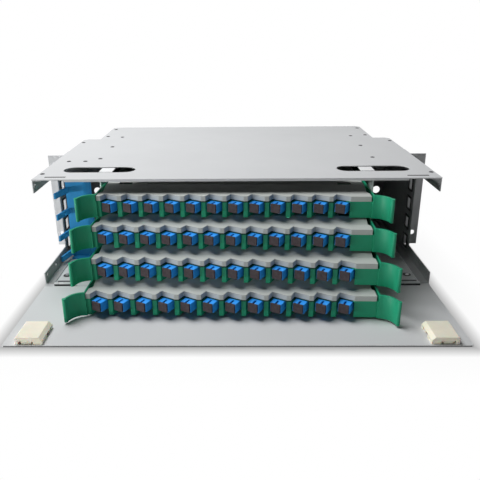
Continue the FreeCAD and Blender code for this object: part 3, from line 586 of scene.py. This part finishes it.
def add_washers(sizes, material):
    """Lay the washers under the floor studs."""
    shape = bmesh.new()
    for x, y in both_sides(FLOOR_STUDS):
        place = Matrix.Translation((x * MM, behind(y), PLATE_TOP))
        top = add_disc(shape, place, sizes.washer_radius, sizes.head_height)
        round_rim(shape, top, sizes.head_height / 2, WASHER_SEGMENTS)
    new_piece("stud_washers", shape, material, "chassis")


def add_window_shade_frames(sizes, material):
    """Frame the windows of the side walls, where the record states them, on their inner faces, with dark bars
    that paint the shade round them.
    """
    reach = sizes.shade_frame_reach
    wall_face = COVER_HIGH.x - SHEET
    shape = bmesh.new()
    for opening in frame["record"]["physics"]["openings"]:
        if "_window_" in opening["name"]:
            low, high = map(Vector, opening["box_m"])
            side = math.copysign(1.0, low.x)
            near, far = sorted((side * wall_face, side * (wall_face - sizes.shade_frame_height)))
            add_frame(shape, Vector((near, low.y - reach, low.z - reach)),
                      Vector((far, high.y + reach, high.z + reach)), reach)
    new_piece("window_shade_frames", shape, material, "chassis")


def add_screw_set(name, places, height, material):
    """A set of equal screws, each at its own place and turn."""
    shape = bmesh.new()
    for place in places:
        add_screw(shape, place, bpy.context.scene.panel_sizes.head_radius, height)
    new_piece(name, shape, material, "chassis")


# Stage

def add_floor():
    """A wide floor with a pit under the door, so that the door can hang open."""
    shape = bmesh.new()
    columns = (-FLOOR_REACH, DOOR_LOW.x + PIT_RIM, DOOR_HIGH.x - PIT_RIM, FLOOR_REACH)
    rows = (-FLOOR_REACH, DOOR_LOW.y + PIT_RIM, FRONT - PIT_RIM, FLOOR_REACH)
    points = [[shape.verts.new((x, y, FLOOR_LEVEL)) for y in rows] for x in columns]
    pit = (1, 1)
    cells = [(column, row) for column in range(3) for row in range(3)]
    for column, row in cells:
        if (column, row) != pit:
            shape.faces.new((points[column][row], points[column + 1][row],
                             points[column + 1][row + 1], points[column][row + 1]))
    floor = link_mesh("floor", shape, floor_material())


def beyond_box(tree, low, high):
    """How far a point of the floor lies outside a rectangle, or less than nothing inside it."""
    vector = own_place(tree)
    steps = (("SUBTRACT", (low + high) / 2), ("ABSOLUTE", None), ("SUBTRACT", (high - low) / 2))
    for operation, amount in steps:
        step = tree.nodes.new("ShaderNodeVectorMath")
        step.operation = operation
        tree.links.new(vector, step.inputs[0])
        if amount:
            step.inputs[1].default_value = amount
        vector = step.outputs["Vector"]
    x, y, _ = axes_of(tree, vector)
    return maths(tree, "MAXIMUM", x, y)


def floor_material():
    """A pale floor that the camera sees as white, dark under the object, with a faint share of its real
    shadow close to it and a painted shadow just round its edge.
    """
    material = bpy.data.materials.new("pale_floor")
    material.use_nodes = True
    tree = material.node_tree
    matte = tree.nodes["Principled BSDF"]
    matte.inputs["Base Color"].default_value = FLOOR_TINT
    matte.inputs["Roughness"].default_value = FLOOR_ROUGHNESS
    white = tree.nodes.new("ShaderNodeEmission")
    away = beyond_box(tree, Vector((DOOR_LOW.x, DOOR_LOW.y, 0.0)), Vector((DOOR_HIGH.x, STEP, 0.0)))
    around = ranged(tree, away, 0.0, SHADOW_REACH, 1.0 - SHADOW_DEPTH, 1.0)
    # The camera's white dims close to the object's edge: a painted shadow
    tree.links.new(ranged(tree, away, 0.0, PAINTED_SHADOW_REACH, PAINTED_SHADOW_TONE, 1.0), white.inputs["Strength"])
    under = ranged(tree, away, -SHADOW_EDGE, 0.0)
    seen = maths(tree, "MULTIPLY", maths(tree, "MINIMUM", around, under),
                 tree.nodes.new("ShaderNodeLightPath").outputs["Is Camera Ray"])
    blend = tree.nodes.new("ShaderNodeMixShader")
    tree.links.new(seen, blend.inputs["Fac"])
    tree.links.new(matte.outputs["BSDF"], blend.inputs[1])
    tree.links.new(white.outputs["Emission"], blend.inputs[2])
    tree.links.new(blend.outputs["Shader"], tree.nodes["Material Output"].inputs["Surface"])
    return material


def light_world(scene, ambient):
    """White where the camera or a reflection looks, a softer even light for the surfaces."""
    world = bpy.data.worlds.new("studio")
    world.use_nodes = True
    tree = world.node_tree
    backdrop = tree.nodes["Background"]
    backdrop.inputs["Color"].default_value = (1.0, 1.0, 1.0, 1.0)
    path = tree.nodes.new("ShaderNodeLightPath")
    seen = path.outputs["Is Camera Ray"]
    for label in ("Is Glossy Ray", "Is Transmission Ray"):
        seen = maths(tree, "MAXIMUM", seen, path.outputs[label])
    strength = ranged(tree, seen, 0.0, 1.0, ambient, 1.0)
    tree.links.new(strength, backdrop.inputs["Strength"])
    scene.world = world


def add_lamp(name, power, place, target, size):
    """A soft lamp that faces its target and is not seen itself."""
    data = bpy.data.lights.new(name, "AREA")
    data.shape = "ELLIPSE"
    data.size, data.size_y = size
    data.energy = power
    lamp = bpy.data.objects.new(name, data)
    lamp.location = place
    lamp.visible_camera = False
    direction = Vector(target) - Vector(place)
    lamp.rotation_euler = direction.to_track_quat("-Z", "Y").to_euler()
    bpy.context.scene.collection.objects.link(lamp)


def add_camera(stage):
    """The camera at its place, turned by its yaw, pitch and roll."""
    data = bpy.data.cameras.new("camera")
    data.sensor_width = SENSOR_WIDTH
    data.lens = stage.focal
    data.shift_x, data.shift_y = stage.shift
    data.clip_start = NEAREST_VIEW
    ahead = Vector((math.sin(stage.yaw) * math.cos(stage.pitch), math.cos(stage.yaw) * math.cos(stage.pitch),
                    -math.sin(stage.pitch)))
    level = Vector((math.cos(stage.yaw), -math.sin(stage.yaw), 0.0))
    upright = level.cross(ahead)
    across = math.cos(stage.roll) * level + math.sin(stage.roll) * upright
    up = math.cos(stage.roll) * upright - math.sin(stage.roll) * level
    turn = Matrix((across, up, -ahead)).transposed().to_4x4()
    camera = bpy.data.objects.new("camera", data)
    camera.matrix_world = Matrix.Translation(stage.place) @ turn
    bpy.context.scene.collection.objects.link(camera)
    return camera


# Steps

class PANEL_OT_finish_case(bpy.types.Operator):
    """Paint the sheet metal case, its ears, its door and its tray rack"""

    bl_idname = "panel.finish_case"
    bl_label = "Finish the case"

    def execute(self, context):
        sizes = context.scene.panel_sizes
        tints = context.scene.panel_colours
        paint = finish_material("grey_powder_coat", tints.paint[:], rough=0.55, drift=0.02, scale=5.0,
                                grain=2200.0, ripple=420.0, bump=0.06, speck=0.05, masks=CASE_MASKS,
                                Specular_IOR_Level=0.06)
        white = finish_material("white_powder_coat", tints.white[:], rough=0.55, drift=0.02, scale=5.0,
                                Specular_IOR_Level=0.06)
        punches = {f"{side}_side_panel": strip_punch(side) for side in SIDES}
        for node in PAINTED:
            dress(node, paint, sizes.sheet_edge, punches.get(node))
        for side in SIDES:
            dress(f"{side}_tray_rack", white, sizes.sheet_edge)
        add_corner_flanges(sizes, paint)
        return {"FINISHED"}


class PANEL_OT_finish_trays(bpy.types.Operator):
    """Give the trays, lids, adapters and caps their moulded finishes"""

    bl_idname = "panel.finish_trays"
    bl_label = "Finish the trays"

    def execute(self, context):
        sizes = context.scene.panel_sizes
        tints = context.scene.panel_colours
        looks = {
            "base": (finish_material("green_tray_plastic", tints.green[:], rough=0.45, drift=0.10,
                                     masks=TRAY_MASKS, Specular_IOR_Level=0.25), sizes.plastic_edge),
            "lid": (finish_material("grey_lid_plastic", tints.lid[:], rough=0.6, drift=0.05,
                                    Specular_IOR_Level=0.1), sizes.plastic_edge),
            "adapters": (finish_material("blue_adapter_plastic", tints.blue[:], rough=0.35, drift=0.06,
                                         Specular_IOR_Level=0.3), sizes.small_edge),
            "dust_caps": (finish_material("soft_cap_plastic", tints.cap[:], rough=0.65, drift=0.2,
                                          scale=300.0, Specular_IOR_Level=0.1), sizes.small_edge),
        }
        for tray in TRAYS:
            punches = {"lid": lid_punch(tray)}
            for part, (material, edge) in looks.items():
                dress(f"{tray}_{part}", material, edge, punches.get(part))
        return {"FINISHED"}


class PANEL_OT_finish_guide(bpy.types.Operator):
    """Give the fibre guide comb its finish"""

    bl_idname = "panel.finish_guide"
    bl_label = "Finish the fibre guide"

    def execute(self, context):
        blue = finish_material("guide_plastic", context.scene.panel_colours.guide[:], rough=0.5, drift=0.08,
                               Specular_IOR_Level=0.15)
        dress("fibre_guide", blue, context.scene.panel_sizes.plastic_edge)
        return {"FINISHED"}


class PANEL_OT_finish_latches(bpy.types.Operator):
    """Give the door's latches their ivory finish"""

    bl_idname = "panel.finish_latches"
    bl_label = "Finish the latches"

    def execute(self, context):
        ivory = finish_material("ivory_latch_plastic", context.scene.panel_colours.ivory[:], rough=0.45,
                                drift=0.05, scale=60.0, Subsurface_Weight=0.25, Subsurface_Scale=0.002,
                                Specular_IOR_Level=0.2)
        for side in SIDES:
            for part in ("housing", "bolt"):
                dress(f"{side}_latch_{part}", ivory, context.scene.panel_sizes.plastic_edge)
        return {"FINISHED"}


class PANEL_OT_add_shade_liners(bpy.types.Operator):
    """Add the dark liners of the corner slots and the dark frames round the windows, which paint shade, and
    the studs' washers
    """

    bl_idname = "panel.add_trims"
    bl_label = "Add the trims"

    def execute(self, context):
        # One near-black finish for the painted shade of slots and windows and for the washers
        dark = finish_material("painted_shade_and_washer_black", context.scene.panel_colours.shade_liner_and_washer[:], rough=0.6, drift=0.1)
        for add in (add_slot_shade_liners, add_washers, add_window_shade_frames):
            add(context.scene.panel_sizes, dark)
        return {"FINISHED"}


class PANEL_OT_add_screws(bpy.types.Operator):
    """Set the screws of the cover, the guide, the floor and the ears"""

    bl_idname = "panel.add_screws"
    bl_label = "Add the screws"

    def execute(self, context):
        height = context.scene.panel_sizes.head_height
        tints = context.scene.panel_colours
        zinc = finish_material("zinc_plate", tints.zinc[:], rough=0.35, drift=0.15, scale=200.0, Metallic=1.0)
        black = finish_material("black_zinc_plate", tints.black[:], rough=0.3, drift=0.2, scale=200.0,
                                Metallic=1.0)
        cover = [Matrix.Translation((x * MM, behind(y), COVER_HIGH.z))
                 for x, y in (*both_sides(COVER_SCREWS), *GUIDE_SCREWS)]
        studs = [Matrix.Translation((x * MM, behind(y), PLATE_TOP + height))
                 for x, y in both_sides(FLOOR_STUDS)]
        ears = [Matrix.Translation((side * EAR_FACE, behind(y), z * MM))
                @ Matrix.Rotation(side * math.radians(90.0), 4, "Y")
                for y, z in EAR_SCREWS for side in SIDES.values()]
        add_screw_set("cover_screws", cover, height, black)
        add_screw_set("floor_studs", studs, STUD_RISE * height, zinc)
        add_screw_set("ear_screws", ears, EAR_RISE * height, zinc)
        return {"FINISHED"}


class PANEL_OT_set_stage(bpy.types.Operator):
    """Set the pale floor, the soft light and the camera"""

    bl_idname = "panel.set_stage"
    bl_label = "Set the stage"

    def execute(self, context):
        scene = context.scene
        stage = scene.panel_stage
        scene.view_settings.view_transform = "Standard"
        add_floor()
        light_world(scene, stage.ambient)
        add_lamp("overhead_light", stage.overhead, **OVERHEAD_LAMP)
        add_lamp("front_light", stage.front, **FRONT_LAMP)
        scene.camera = add_camera(stage)
        return {"FINISHED"}


class PANEL_PT_sidebar(bpy.types.Panel):
    """Lists the steps that dress the patch panel"""

    bl_idname = "PANEL_PT_sidebar"
    bl_label = "Patch panel"
    bl_space_type = "VIEW_3D"
    bl_region_type = "UI"
    bl_category = "Patch panel"

    def draw(self, context):
        for step in STEPS:
            self.layout.operator(step.bl_idname)


STEPS = (PANEL_OT_finish_case, PANEL_OT_finish_trays, PANEL_OT_finish_guide, PANEL_OT_finish_latches,
         PANEL_OT_add_shade_liners, PANEL_OT_add_screws, PANEL_OT_set_stage)
SETTINGS = {"panel_sizes": PanelSizes, "panel_colours": PanelColours, "panel_stage": PanelStage}


def register():
    for item in (*SETTINGS.values(), *STEPS, PANEL_PT_sidebar):
        bpy.utils.register_class(item)
    for name, item in SETTINGS.items():
        setattr(bpy.types.Scene, name, bpy.props.PointerProperty(type=item))


def unregister():
    for name in SETTINGS:
        delattr(bpy.types.Scene, name)
    for item in (PANEL_PT_sidebar, *reversed(STEPS), *SETTINGS.values()):
        bpy.utils.unregister_class(item)


def main():
    register()
    for step in STEPS:
        family, name = step.bl_idname.split(".")
        getattr(getattr(bpy.ops, family), name)()
    bpy.context.view_layer.update()


if __name__ == "__main__":
    main()
